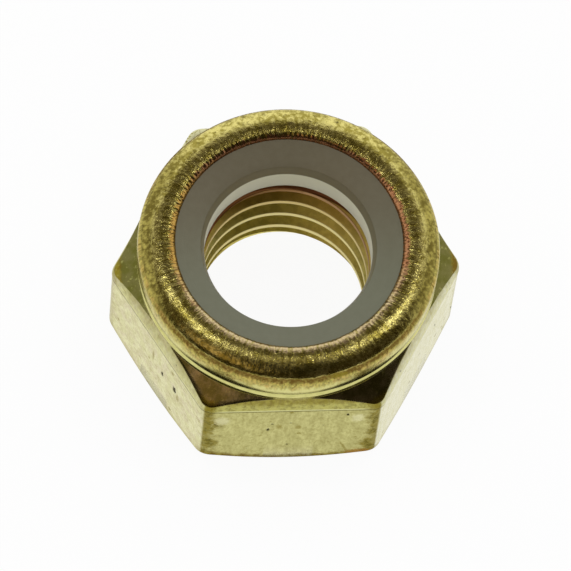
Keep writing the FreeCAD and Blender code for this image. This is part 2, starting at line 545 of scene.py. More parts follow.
    def lay_pocket(self, grid: SurfaceGrid) -> None:
        """Leaning end face of the lip and the hidden pocket, down to its floor."""
        c = self.collar
        end_radius, end_height = (float(row[0]) for row in grid.rows[-1])
        roof = c.top - c.lip_thickness
        pocket = c.radius - c.wall
        lean = tangent(c.lip_face_lean)
        grid.add(end_radius - (end_height - roof) * lean, roof)
        grid.add(pocket - c.pocket_corner, roof)
        grid.add(pocket, roof - c.pocket_corner)
        grid.add(pocket, self.pocket_floor)

    def lay_thread(self, grid: SurfaceGrid) -> None:
        """Bore with its thread, from the pocket's floor down to the mouth.

        A row keeps its phase, so its height climbs by one pitch a turn. Its radius is the largest
        of the thread's profile and the two cones that open the bore at its ends.
        """
        t = self.thread
        phases = t.phases()
        turns = math.ceil(self.pocket_floor / t.pitch)
        all_phases = (np.arange(turns + 3)[:, None] + phases).ravel()[:, None]
        crest = t.crest_height_behind + t.pitch * (turns + 1)
        height = crest + t.pitch * (grid.angle / TURN - 0.25 - all_phases)
        clipped = np.clip(height, 0.0, self.pocket_floor)
        profile = t.profile(all_phases + (height - clipped) / t.pitch)
        mouth = t.minor_radius + t.mouth_width - clipped * THREAD_SLOPE
        seat = t.minor_radius + t.seat_width - (self.pocket_floor - clipped) * THREAD_SLOPE
        grid.add_helix(np.maximum(np.maximum(profile, mouth), seat), clipped, len(phases))

    def pleat(self, angle: Array) -> Array:
        """Pleats of the crimped lip, from 0 to 1: a cosine of uneven pitch, height and sharpness."""
        wander = periodic_noise(angle, 48, 3) * 2.4 + periodic_noise(angle, 11, 4) * 4.2
        wave = 0.5 + 0.5 * np.cos(angle * self.pleats + wander)
        depth = 0.5 + 0.5 * periodic_noise(angle, 61, 5)
        return np.clip(wave * depth + 0.25 * periodic_noise(angle, 330, 6), 0, 1.2)

    def build(self) -> bpy.types.Object:
        """Makes the body's mesh, with its pleated lip and its faintly dented crown.

        Returns:
            The piece, which stands for the CAD body.
        """
        grid = SurfaceGrid(np.arange(self.columns) * TURN / self.columns)
        crown = self.section(grid)[Stretch.CROWN]
        radius, height = grid.points()
        lip = self.collar.radius - self.collar.lip_width
        near_lip = smooth_step(radius[crown], lip + 1.0, lip + 0.12)
        sunk = near_lip * self.pleat(grid.angle) * self.pleat_depth
        along = np.arange(crown.stop - crown.start)[:, None]
        dents = periodic_noise(grid.angle + along * 0.11, 97, 7)
        dents = dents + periodic_noise(grid.angle - along * 0.07, 61, 8)
        sunk = sunk + smooth_step(along, 2, 8) * np.clip(dents, 0, 2) * self.crown_dents
        height[crown] -= sunk
        radius[crown] += near_lip * sunk * 0.8
        piece = grid.build("steel_body", radius, height)
        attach(piece, "root")
        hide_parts("nut_body")
        return piece


@dataclass
class NylonRing:
    """The nylon locking ring, in millimetres, squeezed up a little inside the lip."""

    bore: float
    outside: float
    bottom: float
    top: float
    columns: int = 360
    swell: float = 0.42
    swell_radius: float = 7.025
    swell_over: float = 0.15
    drip: float = 0.28
    drip_width: float = 0.12
    drip_round: float = 0.01
    seat_width: float = 0.4
    neck_radius: float = 6.84
    bevel_width: float = 0.24
    bevel_height: float = 0.66
    corner: float = 0.6
    edge_round: float = 0.035

    @property
    def bevel_foot(self) -> float:
        """Height at which the plain bore turns into the bevel."""
        return self.top - self.swell - self.bevel_height

    def build(self) -> bpy.types.Object:
        """Makes the ring's mesh: floor, outside, step, rising top, rounded bevel and bore.

        Round the bore the ring is pressed a little way down into the body's chamfered seat.

        Returns:
            The piece, which stands for the CAD insert.
        """
        grid = SurfaceGrid(np.arange(self.columns) * TURN / self.columns)
        flat_top, soft = self.top - self.swell, self.edge_round
        crease = self.bore + self.bevel_width
        grid.add(self.bore + self.drip_round, self.bottom - self.drip)
        grid.add(self.bore + self.drip_width, self.bottom - self.drip)
        grid.add(self.bore + self.seat_width, self.bottom)
        grid.add(self.outside - BESIDE, self.bottom)
        grid.add(self.outside, self.bottom + BESIDE)
        grid.add(self.outside, flat_top - self.corner)
        grid.add(self.outside - self.corner, flat_top)
        grid.add(self.neck_radius, flat_top)
        rise = (self.swell + self.swell_over) / (self.swell_radius - crease)
        for share in (0.0, 0.03, 0.35, 0.7):
            run = (self.swell_radius - crease) * (1 - share)
            grid.add(crease + run, flat_top + run * rise)
        grid.add(crease + 2 * soft, flat_top + 2 * soft * rise)
        grid.add(crease + soft * 0.2, flat_top - soft * 0.4)
        grid.add(crease - soft, flat_top - soft * self.bevel_height / self.bevel_width)
        grid.add(self.bore + soft, self.bevel_foot + soft * self.bevel_height / self.bevel_width)
        grid.add(self.bore + soft * 0.2, self.bevel_foot + soft * 0.4)
        grid.add(self.bore, self.bevel_foot - soft)
        grid.add(self.bore, self.bottom - self.drip + BESIDE)
        radius, height = grid.points()
        piece = grid.build("nylon_ring", radius, height)
        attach(piece, "root")
        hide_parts("nylon_insert")
        return piece


@dataclass(frozen=True)
class PhotoCamera:
    """The camera of the photograph, as it stands to the nut.

    Lengths are in millimetres and angles in degrees. The shares give its near and far limits from
    its distance.
    """

    elevation: float = 65.342
    azimuth: float = 9.375
    roll: float = 7.346
    distance: float = 380.0
    aim_right: float = -0.39
    aim_down: float = 2.23
    lens: float = 378.4
    sensor: float = 36.0
    near_share: float = 0.05
    far_share: float = 20.0

    def place(self) -> bpy.types.Object:
        """Makes the camera and gives it to the scene.

        Returns:
            The camera object.
        """
        elevation, azimuth, roll = (
            math.radians(a) for a in (self.elevation, self.azimuth, self.roll)
        )
        forward = Vector((0, math.cos(elevation), -math.sin(elevation)))
        right = Vector((1, 0, 0))
        down = forward.cross(right)
        turn = Matrix.Rotation(azimuth, 3, "Z")
        view = Matrix.Rotation(roll, 3, "Z") @ Matrix((right, down, forward)) @ turn
        offset = Vector((self.aim_right, self.aim_down, self.distance)) * MM
        place = view.transposed() @ -offset
        axes = Matrix((view[0], -view[1], -view[2])).transposed()
        data = bpy.data.cameras.new("photo_camera")
        data.lens = self.lens
        data.sensor_width = self.sensor
        data.clip_start = self.distance * MM * self.near_share
        data.clip_end = self.distance * MM * self.far_share
        camera = bpy.data.objects.new("photo_camera", data)
        camera.matrix_world = Matrix.Translation(place) @ axes.to_4x4()
        bpy.context.scene.collection.objects.link(camera)
        bpy.context.scene.camera = camera
        return camera


def srgb(red: int, green: int, blue: int) -> tuple[float, float, float, float]:
    """A colour written as it looks on a screen, from 0 to 255, turned into linear light."""

    def channel(value: int) -> float:
        """One channel in linear light."""
        share = value / 255
        return share / 12.92 if share <= 0.04045 else ((share + 0.055) / 1.055) ** 2.4

    return channel(red), channel(green), channel(blue), 1.0


@dataclass
class Graph:
    """A node tree with short calls for the nodes that the finishes use."""

    tree: Tree

    def node(self, kind: str, **settings: object) -> bpy.types.Node:
        """Adds a node and sets its properties."""
        made = self.tree.nodes.new(kind)
        for name, value in settings.items():
            setattr(made, name, value)
        return made

    def feed(self, socket: Socket, value: object) -> None:
        """Links a socket to another, or writes a plain value or a screen colour in it."""
        if isinstance(value, bpy.types.NodeSocket):
            self.tree.links.new(value, socket)
        elif socket.type == "RGBA":
            socket.default_value = srgb(*value)
        else:
            socket.default_value = value

    def math(self, operation: str, *values: object, clamp: bool = False) -> Socket:
        """A Math node with its inputs."""
        made = self.node("ShaderNodeMath", operation=operation, use_clamp=clamp)
        for socket, value in zip(made.inputs, values):
            self.feed(socket, value)
        return made.outputs[0]

    def product(self, *values: object) -> Socket:
        """All values multiplied."""
        total = values[0]
        for value in values[1:]:
            total = self.math("MULTIPLY", total, value)
        return total

    def total(self, *values: object) -> Socket:
        """All values added."""
        result = values[0]
        for value in values[1:]:
            result = self.math("ADD", result, value)
        return result

    def vector(self, operation: str, *values: object) -> Socket:
        """A Vector Math node with its inputs, and its result."""
        made = self.node("ShaderNodeVectorMath", operation=operation)
        for socket, value in zip(made.inputs, values):
            self.feed(socket, value)
        return made.outputs["Value" if operation == "LENGTH" else "Vector"]

    def scale(self, vector: Socket, factor: float | Socket) -> Socket:
        """A vector times a number."""
        made = self.node("ShaderNodeVectorMath", operation="SCALE")
        self.feed(made.inputs[0], vector)
        self.feed(made.inputs["Scale"], factor)
        return made.outputs["Vector"]

    def apart(self, vector: Socket) -> tuple[Socket, Socket, Socket]:
        """A vector's three components."""
        made = self.node("ShaderNodeSeparateXYZ")
        self.feed(made.inputs[0], vector)
        return made.outputs[0], made.outputs[1], made.outputs[2]

    def join(self, *components: object) -> Socket:
        """A vector from three components."""
        made = self.node("ShaderNodeCombineXYZ")
        for socket, value in zip(made.inputs, components):
            self.feed(socket, value)
        return made.outputs[0]

    def step(self, value: object, low: object, high: object) -> Socket:
        """A smooth step from 0 at low to 1 at high, also where high is the smaller."""
        made = self.node("ShaderNodeMapRange", interpolation_type="SMOOTHSTEP")
        self.feed(made.inputs["Value"], value)
        self.feed(made.inputs["From Min"], low)
        self.feed(made.inputs["From Max"], high)
        return made.outputs["Result"]

    def swing(self, value: Socket, reach: float) -> Socket:
        """A noise value of about 0.5 turned into one about 0, times a reach."""
        return self.product(self.math("SUBTRACT", value, 0.5), reach)

    def between(self, value: object, low: float, high: float, soft: float) -> Socket:
        """1 between low and high, easing to 0 over soft to each side."""
        rise = self.step(value, low - soft, low + soft)
        return self.product(rise, self.step(value, high + soft, high - soft))

    def noise(self, vector: object, seed: object, detail: float, rough: float) -> Socket:
        """A Noise Texture with features of about one unit."""
        made = self.node("ShaderNodeTexNoise", noise_dimensions="4D")
        self.feed(made.inputs["Vector"], vector)
        self.feed(made.inputs["W"], seed)
        made.inputs["Scale"].default_value = 1.0
        made.inputs["Detail"].default_value = detail
        made.inputs["Roughness"].default_value = rough
        return made.outputs["Fac"]

    def mix(self, share: object, first: object, second: object) -> Socket:
        """A colour mix, first where the share is 0 and second where it is 1."""
        made = self.node("ShaderNodeMix", data_type="RGBA")
        for place, value in ((0, share), (6, first), (7, second)):
            self.feed(made.inputs[place], value)
        return made.outputs[2]

    def blend(self, share: object, first: object, second: object) -> Socket:
        """A mix of two numbers, first where the share is 0 and second where it is 1."""
        made = self.node("ShaderNodeMix", data_type="FLOAT")
        for place, value in ((0, share), (2, first), (3, second)):
            self.feed(made.inputs[place], value)
        return made.outputs[0]

    def coats(self, base: object, *coats: tuple[object, ...]) -> Socket:
        """Colours laid over a base one after another.

        Args:
            base: the lowest colour.
            coats: for each coat its colour and then the factors of its mask.

        Returns:
            The colour that shows.
        """
        colour = base
        for coat, *mask in coats:
            colour = self.mix(self.product(*mask), colour, coat)
        return colour

    def place(self, group: Tree, **values: object) -> bpy.types.Node:
        """Places a node group and feeds its inputs."""
        made = self.node("ShaderNodeGroup", node_tree=group)
        for name, value in values.items():
            self.feed(made.inputs[name], value)
        return made


def new_group(
    name: str, inputs: dict[str, str], outputs: dict[str, str]
) -> tuple[Graph, bpy.types.Node, bpy.types.Node]:
    """An empty shader node group.

    Args:
        name: the group's name.
        inputs: names and socket kinds of its inputs.
        outputs: names and socket kinds of its outputs.

    Returns:
        Its graph, its input node and its output node.
    """
    tree = bpy.data.node_groups.new(name, "ShaderNodeTree")
    for names, side in ((inputs, "INPUT"), (outputs, "OUTPUT")):
        for socket, kind in names.items():
            tree.interface.new_socket(name=socket, in_out=side, socket_type="NodeSocket" + kind)
    graph = Graph(tree)
    return graph, graph.node("NodeGroupInput"), graph.node("NodeGroupOutput")


@dataclass
class SharedEffects:
    """The node groups that both finishes use, each built once."""

    axis: Tree
    mottle: Tree
    strokes: Tree
    specks: Tree

    @classmethod
    def make(cls) -> "SharedEffects":
        """Builds the groups."""
        return cls(cls.axis_group(), cls.mottle_group(), cls.strokes_group(), cls.specks_group())

    @staticmethod
    def axis_group() -> Tree:
        """Where a point lies: its radius and height in millimetres and its angle in degrees."""
        outputs = {"Radius": "Float", "Height": "Float", "Angle": "Float"}
        graph, inlet, outlet = new_group("round_axis", {"Vector": "Vector"}, outputs)
        x, y, z = graph.apart(graph.scale(inlet.outputs["Vector"], 1 / MM))
        square = graph.total(graph.product(x, x), graph.product(y, y))
        graph.feed(outlet.inputs["Radius"], graph.math("SQRT", square))
        graph.feed(outlet.inputs["Height"], z)
        angle = graph.product(graph.math("ARCTAN2", y, x), 360 / TURN)
        graph.feed(outlet.inputs["Angle"], angle)
        return graph.tree

    @staticmethod
    def mottle_group() -> Tree:
        """Cloudy patches about Size millimetres across, from 0 under Low to 1 over High."""
        inputs = {"Vector": "Vector", "Size": "Float", "Seed": "Float", "Low": "Float", "High": "Float"}
        graph, inlet, outlet = new_group("mottle", inputs, {"Mask": "Float", "Value": "Float"})
        scale = graph.math("DIVIDE", 1 / MM, inlet.outputs["Size"])
        value = graph.noise(
            graph.scale(inlet.outputs["Vector"], scale), inlet.outputs["Seed"], 3.0, 0.6
        )
        graph.feed(outlet.inputs["Value"], value)
        mask = graph.step(value, inlet.outputs["Low"], inlet.outputs["High"])
        graph.feed(outlet.inputs["Mask"], mask)
        return graph.tree

    @staticmethod
    def strokes_group() -> Tree:
        """Fine strokes that point at the axis: Size apart round it and Length long, in millimetres.

        The direction from the axis, as a point on a circle of fixed radius, gives the noise its fine
        dimension, so the pattern closes on itself.
        """
        inputs = {"Vector": "Vector", "Size": "Float", "Length": "Float", "Seed": "Float"}
        graph, inlet, outlet = new_group("strokes", inputs, {"Value": "Float"})
        x, y, z = graph.apart(graph.scale(inlet.outputs["Vector"], 1 / MM))
        radius = graph.math("SQRT", graph.total(graph.product(x, x), graph.product(y, y)))
        fine = graph.math("DIVIDE", STROKE_RADIUS, graph.product(radius, inlet.outputs["Size"]))
        along = graph.math("DIVIDE", graph.total(radius, z), inlet.outputs["Length"])
        where = graph.join(graph.product(x, fine), graph.product(y, fine), along)
        value = graph.noise(where, inlet.outputs["Seed"], 2.0, 0.55)
        graph.feed(outlet.inputs["Value"], value)
        return graph.tree

    @staticmethod
    def specks_group() -> Tree:
        """Small round specks of uneven size in cells about Size millimetres across."""
        inputs = {"Vector": "Vector", "Size": "Float", "Reach": "Float"}
        graph, inlet, outlet = new_group("specks", inputs, {"Mask": "Float"})
        scale = graph.math("DIVIDE", 1 / MM, inlet.outputs["Size"])
        cells = graph.node("ShaderNodeTexVoronoi")
        graph.feed(cells.inputs["Vector"], graph.scale(inlet.outputs["Vector"], scale))
        cells.inputs["Scale"].default_value = 1.0
        chance, _, _ = graph.apart(cells.outputs["Color"])
        reach = graph.product(graph.step(chance, 0.5, 1.0), inlet.outputs["Reach"])
        near = graph.math("SUBTRACT", reach, cells.outputs["Distance"])
        graph.feed(outlet.inputs["Mask"], graph.step(near, -0.02, 0.06))
        return graph.tree


@dataclass(frozen=True)
class Mark:
    """A pit, stain or scratch: an ellipsoid about a place, in millimetres and degrees."""

    tone: Tone
    place: Place
    half: Place
    turn: Place = (0.0, 0.0, 0.0)


@dataclass
class Painter:
    """One material's graph, with the places and the shared effects that its coats read.

    Places are in millimetres and the angle is in degrees. A mark's border runs where its distance,
    in half sizes, and a share of a noise value add up to the numbers of mark_border.
    """

    name: str
    effects: SharedEffects
    mark_ragged: float = 1.6
    mark_border: Span = (2.1, 1.3)
    material: bpy.types.Material = field(init=False)
    graph: Graph = field(init=False)

    def __post_init__(self) -> None:
        """Makes the material and finds where each point lies, also round the axis."""
        self.material = bpy.data.materials.new(self.name)
        self.material.use_nodes = True
        self.graph = Graph(self.material.node_tree)
        self.shader = self.material.node_tree.nodes["Principled BSDF"]
        self.where = self.graph.node("ShaderNodeTexCoord").outputs["Object"]
        self.x, self.y, _ = self.graph.apart(self.graph.scale(self.where, 1 / MM))
        axis = self.graph.place(self.effects.axis, Vector=self.where)
        self.radius = axis.outputs["Radius"]
        self.height = axis.outputs["Height"]
        self.angle = axis.outputs["Angle"]

    def mottle(self, size: float, seed: float, low: float = 0.42, high: float = 0.6) -> Socket:
        """Cloudy patches as a mask.

        Args:
            size: rough size of a patch in millimetres.
            seed: place in the noise's fourth dimension.
            low: the cloudy value at which the mask leaves 0.
            high: the cloudy value at which the mask is 1.

        Returns:
            The mask.
        """
        group = self.graph.place(
            self.effects.mottle, Vector=self.where, Size=size, Seed=seed, Low=low, High=high
        )
        return group.outputs["Mask"]

    def cloud(self, size: float, seed: float) -> Socket:
        """The cloudy value itself, about 0.5 on average."""
        group = self.graph.place(self.effects.mottle, Vector=self.where, Size=size, Seed=seed)
        return group.outputs["Value"]

    def strokes(self, size: float, length: float, seed: float) -> Socket:
        """Strokes that point at the axis, about 0.5 on average.

        Args:
            size: how far apart the strokes are, in millimetres.
            length: how long they are, in millimetres.
            seed: place in the noise's fourth dimension.

        Returns:
            The value.
        """
        group = self.graph.place(
            self.effects.strokes, Vector=self.where, Size=size, Length=length, Seed=seed
        )
        return group.outputs["Value"]

    def stroke_mask(self, size: float, length: float, seed: float, low: float, high: float) -> Socket:
        """Strokes that point at the axis, as a mask from 0 at low to 1 at high."""
        return self.graph.step(self.strokes(size, length, seed), low, high)

    def specks(self, size: float, reach: float) -> Socket:
        """Small specks as a mask."""
        group = self.graph.place(self.effects.specks, Vector=self.where, Size=size, Reach=reach)
        return group.outputs["Mask"]

    def mark(self, mark: Mark, ragged: Socket) -> Socket:
        """The mask of one mark.

        Args:
            mark: the mark.
            ragged: a noise value that breaks up its border.

        Returns:
            The mask.
        """
        g = self.graph
        local = g.node("ShaderNodeMapping", vector_type="TEXTURE")
        g.feed(local.inputs["Vector"], self.where)
        local.inputs["Location"].default_value = [c * MM for c in mark.place]
        local.inputs["Rotation"].default_value = [math.radians(a) for a in mark.turn]
        local.inputs["Scale"].default_value = [c * MM for c in mark.half]
        length = g.vector("LENGTH", local.outputs["Vector"])
        return g.step(g.total(length, g.product(ragged, self.mark_ragged)), *self.mark_border)

    def bump(self, height: Socket) -> None:
        """Feeds a height in millimetres to the shader's normal."""
        bump = self.graph.node("ShaderNodeBump")
        bump.inputs["Distance"].default_value = MM
        self.graph.feed(bump.inputs["Height"], height)
        self.graph.feed(self.shader.inputs["Normal"], bump.outputs["Normal"])


@dataclass(frozen=True)
class YellowZinc:
    """Yellow passivated zinc plating, worn at its corners.

    Colours are as they look on a screen. A span says where a mask is 0 and where it is 1, in
    millimetres from the axis or above the bearing face. Dark colours, real dirt and painted shade
    alike, are matt below a threshold span, and everything brighter is metal.
    """

    name: str = "yellow_zinc"
    roughness: float = 0.21
    thread_roughness: float = 0.5
    edge_tint: Place = (1.0, 0.97, 0.78)
    dirt_and_shade_light: Span = (0.08, 0.36)
    bearing_border: Span = (0.04, 0.01)
    brown_border: Span = (11.25, 11.5)
    crown_border: Span = (11.64, 11.74)
    inner_crown: Span = (8.7, 7.8)
    outer_crown: Span = (8.3, 8.7)
    lip_border: Span = (7.5, 7.32)
    pleat_border: Span = (8.6, 7.3)
    nylon_border: Span = (7.2, 7.4)
    cream: Colour = (224, 223, 184)
    blush: Colour = (206, 194, 172)
    # Painted reflection of the bright table, for the flat right of the front.
    right_flat_reflection: Colour = (226, 227, 219)
    olive_cream: Colour = (184, 182, 110)
    front_pale: Colour = (196, 192, 126)
    front_olive: Colour = (142, 134, 66)
    mustard: Colour = (136, 122, 38)
    dark_olive: Colour = (82, 74, 22)
    worn: Colour = (220, 217, 172)
    brown: Colour = (112, 88, 28)
    orange: Colour = (160, 112, 36)
    # Painted shade for the crease under the band and for the collar's groove, and a painted highlight
    # along the band's edge above the crease.
    crease_shade: Colour = (92, 84, 40)
    crease_highlight: Colour = (214, 212, 156)
    band_gold: Colour = (184, 178, 96)
    shoulder_grey: Colour = (138, 126, 92)
    shoulder_green: Colour = (98, 92, 48)
    side_green: Colour = (96, 96, 36)
    wall_pale: Colour = (212, 207, 134)
    wall_gold: Colour = (182, 164, 70)
    wall_orange: Colour = (184, 146, 66)
    # Painted shade for the wall's rounded top edge, in front and behind.
    rim_shade_brown: Colour = (104, 80, 34)
    crown_gold: Colour = (222, 210, 128)
    crown_olive: Colour = (158, 145, 66)
    # Dark crown tone, for random patches and strokes and also for painted shade on the crown.
    crown_dark: Colour = (94, 82, 34)
    # The pinkish beige is a painted reflection for the front of the lip, and the dark red four lines
    # below is painted shade for its back.
    lip_reflection_pink: Colour = (204, 182, 142)
    lip_gold: Colour = (182, 142, 70)
    lip_copper: Colour = (168, 112, 80)
    lip_dark: Colour = (96, 62, 36)
    lip_shade_red: Colour = (146, 98, 72)
    crest: Colour = (226, 214, 156)
    flank: Colour = (230, 219, 132)
    flank_dark: Colour = (198, 172, 90)
    seat_copper: Colour = (152, 104, 72)
    pit: Colour = (52, 46, 22)

    def material(self, body: NutBody, effects: SharedEffects, marks: list[Mark]) -> bpy.types.Material:
        """Makes the plating's material.

        Args:
            body: the body that wears it, for the places of its zones.
            effects: the shared node groups.
            marks: pits, stains and scratches at known places.

        Returns:
            The material.
        """
        p = Painter(self.name, effects)
        g = p.graph
        collar, mouth = body.collar, body.thread.minor_radius + body.thread.mouth_width
        on_collar = g.step(p.height, body.hexagon.shoulder_height + 0.02, collar.bead_low - 0.02)
        in_bore = g.step(p.radius, mouth + 0.02, mouth - 0.06)
        crown = self.crown_mask(p)
        plating = g.coats(
            self.hexagon_colour(p, body.hexagon),
            (self.bearing_colour(p), g.step(p.height, *self.bearing_border)),
            (self.wall_colour(p, collar), on_collar),
            (self.crown_colour(p), crown),
            (self.thread_colour(p, body), in_bore),
        )
        colour, pits = self.marked(p, plating, marks)
        g.feed(p.shader.inputs["Base Color"], colour)
        # Colours below the threshold are made matt: the real pits and specks, and also the painted shade
        # lines of crease, groove and seat.
        light = g.node("ShaderNodeRGBToBW")
        g.feed(light.inputs[0], colour)
        bright = g.step(light.outputs[0], *self.dirt_and_shade_light)
        mirror = g.math("MAXIMUM", g.math("MAXIMUM", crown, in_bore), self.shoulder_mask(p, body.hexagon))
        g.feed(p.shader.inputs["Metallic"], g.math("MAXIMUM", bright, mirror))
        p.shader.inputs["Specular IOR Level"].default_value = 0.0
        p.shader.inputs["Specular Tint"].default_value = (*self.edge_tint, 1.0)
        rough = g.blend(p.cloud(0.5, 5.0), self.roughness - 0.06, self.roughness + 0.1)
        rough = g.blend(in_bore, rough, self.thread_roughness)
        g.feed(p.shader.inputs["Roughness"], rough)
        p.bump(self.relief(p, crown, in_bore, pits))
        return p.material

    def marked(self, p: Painter, plating: Socket, marks: list[Mark]) -> tuple[Socket, Socket]:
        """Lays the marks over the plating, and small dark specks all over outside the nylon.

        Args:
            p: the painter of the material.
            plating: the colour below.
            marks: pits, stains and scratches at known places.

        Returns:
            The colour, and the mask of the pits and specks.
        """
        g = p.graph
        ragged = p.cloud(0.14, 21.0)
        tones = {
            Tone.PIT: (self.pit, 0.9),
            Tone.STAIN: (self.orange, 0.75),
            Tone.WORN: (self.worn, 0.6),
            Tone.BLOTCH: (self.mustard, 0.7),
        }
        colour, pits = plating, 0.0
        for mark in marks:
            tone, strength = tones[mark.tone]
            mask = g.product(p.mark(mark, ragged), strength)
            colour = g.mix(mask, colour, tone)
            if mark.tone is Tone.PIT:
                pits = g.total(pits, mask)
        specks = g.product(p.specks(1.15, 0.1), g.step(p.radius, *self.nylon_border), 0.7)
        return g.mix(specks, colour, self.pit), g.total(pits, specks)

    def hexagon_colour(self, p: Painter, hexagon: Hexagon) -> Socket:
        """The flats: cream all round, with painted shade that makes the front one olive and a painted
        reflection that makes the one right of it grey white.

        Args:
            p: the painter of the material.
            hexagon: the sizes of the hexagon.

        Returns:
            The colour, with the coats of hexagon_edges over it.
        """
        g = p.graph
        soft = p.stroke_mask(0.42, 1.2, 1.0, 0.4, 0.62)
        fine = p.stroke_mask(0.13, 0.4, 2.0, 0.4, 0.66)
        streaks = p.stroke_mask(0.26, 3.2, 35.0, 0.46, 0.68)
        scratches = g.product(
            g.between(p.cloud(0.75, 38.0), 0.495, 0.505, 0.02), p.mottle(1.1, 39.0, 0.38, 0.55)
        )
        # The front flat, olive as painted shade.
        front = g.coats(
            self.front_pale,
            (self.front_olive, soft, 0.3),
            (self.front_olive, streaks, 0.3),
            (self.front_olive, fine, 0.45),
            (self.mustard, scratches, 0.7),
        )
        # The flat right of the front, grey white as painted reflection.
        right = g.coats(
            self.right_flat_reflection,
            (self.olive_cream, fine, 0.4),
            (self.front_pale, streaks, 0.3),
            (self.front_olive, scratches, 0.3),
        )
        side = g.coats(
            self.cream,
            (self.blush, p.mottle(0.9, 49.0, 0.46, 0.58), 0.6),
            (self.olive_cream, soft, 0.3),
            (self.front_olive, fine, 0.25),
            (self.mustard, self.dashes(p), p.mottle(1.8, 52.0, 0.44, 0.56), 0.6),
            (self.front_olive, scratches, 0.5),
        )
        from_front = g.math("ABSOLUTE", g.total(p.angle, 90.0))
        from_right = g.math("ABSOLUTE", g.total(p.angle, 30.0))
        return g.coats(
            side,
            # Painted reflection on the flat right of the front, and painted shade on the front flat.
            (right, g.step(from_right, 31.0, 29.0)),
            (front, g.step(from_front, 31.0, 29.0)),
            (self.mustard, p.specks(0.6, 0.28), p.mottle(1.6, 46.0, 0.46, 0.56), 0.8),
            *self.hexagon_edges(p, hexagon, from_front, fine),
        )

    def bearing_colour(self, p: Painter) -> Socket:
        """Pale bearing face with faint turned rings and olive clouds."""
        g = p.graph
        rings = g.noise(g.join(g.product(p.radius, 6.0), 0.0, 0.0), 53.0, 2.0, 0.5)
        return g.coats(
            self.worn,
            (self.olive_cream, g.step(rings, 0.42, 0.6), 0.5),
            (self.front_olive, p.mottle(0.8, 54.0), 0.4),
        )

    def dashes(self, p: Painter) -> Socket:
        """Short level dashes on the flats: clouds four times as long as they are high."""
        g = p.graph
        where = g.join(g.product(p.x, 1.3), g.product(p.y, 1.3), g.product(p.height, 5.0))
        return g.step(g.noise(where, 50.0, 2.0, 0.55), 0.57, 0.68)

    def hexagon_edges(
        self, p: Painter, hexagon: Hexagon, from_front: Socket, fine: Socket
    ) -> list[tuple[object, ...]]:
        """The coats over the flats: band, mustard corners, brown lower edge, painted highlight and
        painted shade at the crease, and shoulder.

        Args:
            p: the painter of the material.
            hexagon: the sizes of the hexagon.
            from_front: degrees from the middle of the front flat.
            fine: mask of fine patches.

        Returns:
            Colours with the factors of their masks, in the order in which they are laid.
        """
        g = p.graph
        top = hexagon.flat_height
        wobble = g.swing(p.cloud(0.5, 3.0), 7.0)
        on_front = g.step(from_front, 34.0, 26.0)
        ragged_height = g.total(p.height, g.product(wobble, 0.14))
        upper = g.product(g.step(ragged_height, top + 0.45, top + 0.95), g.blend(on_front, 0.3, 0.6))
        band = g.product(g.step(p.height, top + 0.02, top + 0.1), g.blend(on_front, 0.4, 0.85))
        band_coat = g.mix(p.mottle(0.3, 40.0, 0.42, 0.62), self.band_gold, self.front_olive)
        corner = g.coats(
            self.mustard,
            (self.dark_olive, p.mottle(0.4, 4.0, 0.46, 0.62), 0.6),
            (self.front_olive, p.mottle(0.25, 36.0, 0.48, 0.6), 0.6),
        )
        foot = hexagon.flat_distance - hexagon.bearing_inset
        chamfer = g.product(g.math("SUBTRACT", p.radius, foot), tangent(hexagon.bearing_slope))
        over_chamfer = g.total(g.math("SUBTRACT", p.height, chamfer), g.product(wobble, 0.12))
        low_edge = g.product(
            g.step(over_chamfer, 0.7, 0.2), g.step(p.height, 0.05, 0.2), g.blend(on_front, 0.35, 0.9)
        )
        from_corner = g.math("PINGPONG", p.angle, 30.0)
        # Painted highlight along the band's edge above the crease, and painted shade in the crease below
        # it, wider on the flats away from the front.
        light = g.between(p.height, top + 0.01, top + 0.13, 0.02)
        dark = g.between(p.height, top - hexagon.crease_height, top - 0.01, 0.02)
        side_painted_shade = g.between(p.height, top - 2 * hexagon.crease_height, top - 0.01, 0.03)
        side_painted_shade = g.product(side_painted_shade, g.blend(on_front, 0.6, 0.0))
        return [
            (g.mix(g.product(fine, 0.4), band_coat, self.olive_cream), band),
            (g.mix(fine, self.mustard, self.brown), upper),
            (corner, self.corner_mask(p, from_front, wobble)),
            (g.mix(p.mottle(0.5, 8.0), self.brown, self.mustard), low_edge),
            # Painted highlight and painted shade at the crease.
            (self.crease_highlight, light, g.step(from_corner, 2.5, 6.0), 0.75),
            (self.crease_shade, g.math("MAXIMUM", dark, side_painted_shade), 0.85),
            (self.shoulder_colour(p), self.shoulder_mask(p, hexagon)),
        ]

    def corner_mask(self, p: Painter, from_front: Socket, wobble: Socket) -> Socket:
        """1 along the corners of the front flat, on its own side, and less along the others.

        Args:
            p: the painter of the material.
            from_front: degrees from the middle of the front flat.
            wobble: degrees by which the border wanders.

        Returns:
            The mask.
        """
        g = p.graph
        ragged = g.total(from_front, wobble, g.swing(p.cloud(1.3, 51.0), 14.0))
        in_front = g.product(g.step(ragged, 23.8, 28.2), g.step(from_front, 30.9, 29.9), 0.95)
        from_corner = g.total(g.math("PINGPONG", p.angle, 30.0), wobble)
        strength = g.product(g.step(p.y, -6.0, -3.0), g.blend(self.at_back(p), 0.45, 0.15))
        return g.math("MAXIMUM", in_front, g.product(g.step(from_corner, 4.0, 1.6), strength))

    def at_back(self, p: Painter) -> Socket:
        """1 on the two corners behind, which are pale all over."""
        return p.graph.step(p.y, 5.0, 7.5)

    def shoulder_mask(self, p: Painter, hexagon: Hexagon) -> Socket:
        """1 on the conical shoulder, outside the collar: where the height is that of the cone.

        Args:
            p: the painter of the material.
            hexagon: the sizes of the hexagon.

        Returns:
            The mask.
        """
        g = p.graph
        beyond = g.math("SUBTRACT", p.radius, hexagon.foot_radius)
        fall = g.product(beyond, tangent(hexagon.shoulder_slope))
        over_cone = g.total(p.height, fall, -hexagon.shoulder_height)
        return g.product(g.step(over_cone, -0.05, -0.02), g.step(beyond, -0.01, 0.03))

